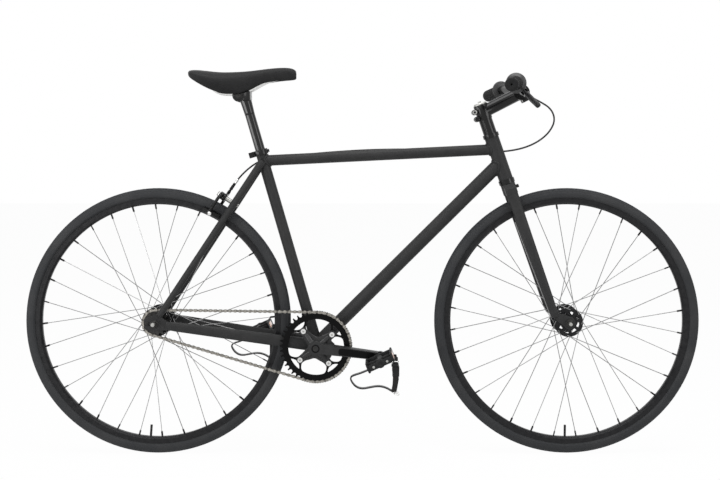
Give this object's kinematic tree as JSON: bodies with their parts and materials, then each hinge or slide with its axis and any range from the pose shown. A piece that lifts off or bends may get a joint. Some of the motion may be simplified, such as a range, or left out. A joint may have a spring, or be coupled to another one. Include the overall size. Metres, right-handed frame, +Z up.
{
  "type": "fixed gear bicycle",
  "caption": "Diamond-frame fixed gear bicycle with spoked wheels, roller chain drive, swept flat bar, rear side-pull brake and pedals with toe clips and straps.",
  "frame": {"origin": "on the ground under the bicycle's mid-plane, midway between the two axles", "axes": "+X forward towards the front wheel, +Y to the rider's left, +Z up"},
  "size_m": [1.7433, 0.5932, 0.998],
  "materials": {
    "frame_paint": "matt black paint",
    "gloss_black": "gloss black finish on alloy",
    "black_anodised": "satin black anodised",
    "dull_steel": "dull zinc-plated steel",
    "bright_steel": "polished steel",
    "spoke_steel": "drawn wire",
    "chain_steel": "oiled steel",
    "tyre_rubber": "matt black rubber",
    "tube_rubber": "butyl rubber",
    "grip_rubber": "matt rubber",
    "cable_housing": "smooth black sleeve",
    "saddle_cover": "fine-grained black cover",
    "pedal_resin": "moulded black resin",
    "clip_steel": "black sprung steel",
    "strap_leather": "black strap"
  },
  "bodies": {
    "frame": {"head_tube": "frame_paint", "top_tube": "frame_paint", "down_tube": "frame_paint", "seat_tube": "frame_paint", "bottom_bracket_shell": "frame_paint", "chainstays": "frame_paint", "seatstays": "frame_paint", "rear_dropouts": "frame_paint", "headset": "gloss_black", "bottom_bracket_cups": "gloss_black", "seat_clamp": "gloss_black", "cable_guides": "frame_paint", "rear_axle": "dull_steel", "rear_axle_nuts": "dull_steel", "chain": "chain_steel", "brake_pivot_bolt": "dull_steel", "brake_cable_front": "cable_housing", "brake_cable_rear": "cable_housing"},
    "seat": {"seatpost": "gloss_black", "saddle_clamp": "gloss_black", "saddle_rails": "bright_steel", "saddle": "saddle_cover"},
    "fork": {"fork_steerer": "frame_paint", "fork_blades": "frame_paint", "crown_plug": "gloss_black", "headset_spacers": "gloss_black", "stem": "gloss_black", "stem_bolts": "dull_steel", "handlebar": "gloss_black", "grips": "grip_rubber", "brake_lever_bracket": "gloss_black", "front_axle": "dull_steel", "front_axle_nuts": "dull_steel"},
    "front_wheel": {"front_tyre": "tyre_rubber", "front_inner_tube": "tube_rubber", "front_rim": "black_anodised", "front_spokes": "spoke_steel", "front_hub": "black_anodised"},
    "rear_wheel": {"rear_tyre": "tyre_rubber", "rear_inner_tube": "tube_rubber", "rear_rim": "black_anodised", "rear_spokes": "spoke_steel", "rear_hub": "black_anodised", "rear_cog": "dull_steel"},
    "crank": {"crank_spindle": "dull_steel", "right_crank": "gloss_black", "left_crank": "gloss_black", "chainring": "gloss_black", "chainring_bolts": "bright_steel", "crank_bolts": "dull_steel", "pedal_axles": "dull_steel"},
    "right_pedal": {"right_pedal_body": "pedal_resin", "right_toe_clip": "clip_steel", "right_toe_strap": "strap_leather"},
    "left_pedal": {"left_pedal_body": "pedal_resin", "left_toe_clip": "clip_steel", "left_toe_strap": "strap_leather"},
    "brake_lever": {"brake_lever": "gloss_black"},
    "right_caliper": {"right_caliper_arm": "gloss_black"},
    "left_caliper": {"left_caliper_arm": "gloss_black"}
  },
  "joints": [
    {"name": "steering", "type": "hinge", "parent": "frame", "child": "fork", "pos_m": [0.50128, 0, 0.33356], "axis": [-0.3256, 0, 0.9455], "range_deg": [-75, 75], "deforming": ["brake_cable_front"]},
    {"name": "front_wheel_spin", "type": "hinge", "parent": "fork", "child": "front_wheel", "pos_m": [0.5287, 0, 0.343], "axis": [0, 1, 0], "continuous": true},
    {"name": "rear_wheel_spin", "type": "hinge", "parent": "frame", "child": "rear_wheel", "pos_m": [-0.5287, 0, 0.343], "axis": [0, 1, 0], "continuous": true, "deforming": ["chain"]},
    {"name": "crank_spin", "type": "hinge", "parent": "frame", "child": "crank", "pos_m": [-0.11812, 0, 0.281], "axis": [0, 1, 0], "continuous": true, "deforming": ["chain"]},
    {"name": "right_pedal_spin", "type": "hinge", "parent": "crank", "child": "right_pedal", "pos_m": [0.04579, 0, 0.26204], "axis": [0, 1, 0], "continuous": true},
    {"name": "left_pedal_spin", "type": "hinge", "parent": "crank", "child": "left_pedal", "pos_m": [-0.28202, 0, 0.29996], "axis": [0, 1, 0], "continuous": true},
    {"name": "seatpost_height", "type": "slide", "parent": "frame", "child": "seat", "axis": [-0.2807, 0, 0.9598], "range_m": [-0.09, 0.05]},
    {"name": "brake_lever_pull", "type": "hinge", "parent": "fork", "child": "brake_lever", "pos_m": [0.40103, -0.14752, 0.9291], "axis": [-0.7391, 0.1048, -0.6654], "range_deg": [0, 15], "stiffness_Nm_per_rad": 0.6, "springref_deg": -5.73},
    {"name": "right_caliper_close", "type": "hinge", "parent": "frame", "child": "right_caliper", "pos_m": [-0.33137, 0, 0.6441], "axis": [0.8364, 0, -0.5482], "range_deg": [0, 1.5]},
    {"name": "left_caliper_close", "type": "hinge", "parent": "frame", "child": "left_caliper", "pos_m": [-0.33137, 0, 0.6441], "axis": [-0.8364, 0, 0.5482], "range_deg": [0, 1.5]}
  ],
  "couplings": [
    {"joint": "crank_spin", "follows": "rear_wheel_spin", "ratio": 0.36364},
    {"joint": "right_caliper_close", "follows": "brake_lever_pull", "ratio": 0.1},
    {"joint": "left_caliper_close", "follows": "brake_lever_pull", "ratio": 0.1}
  ]
}
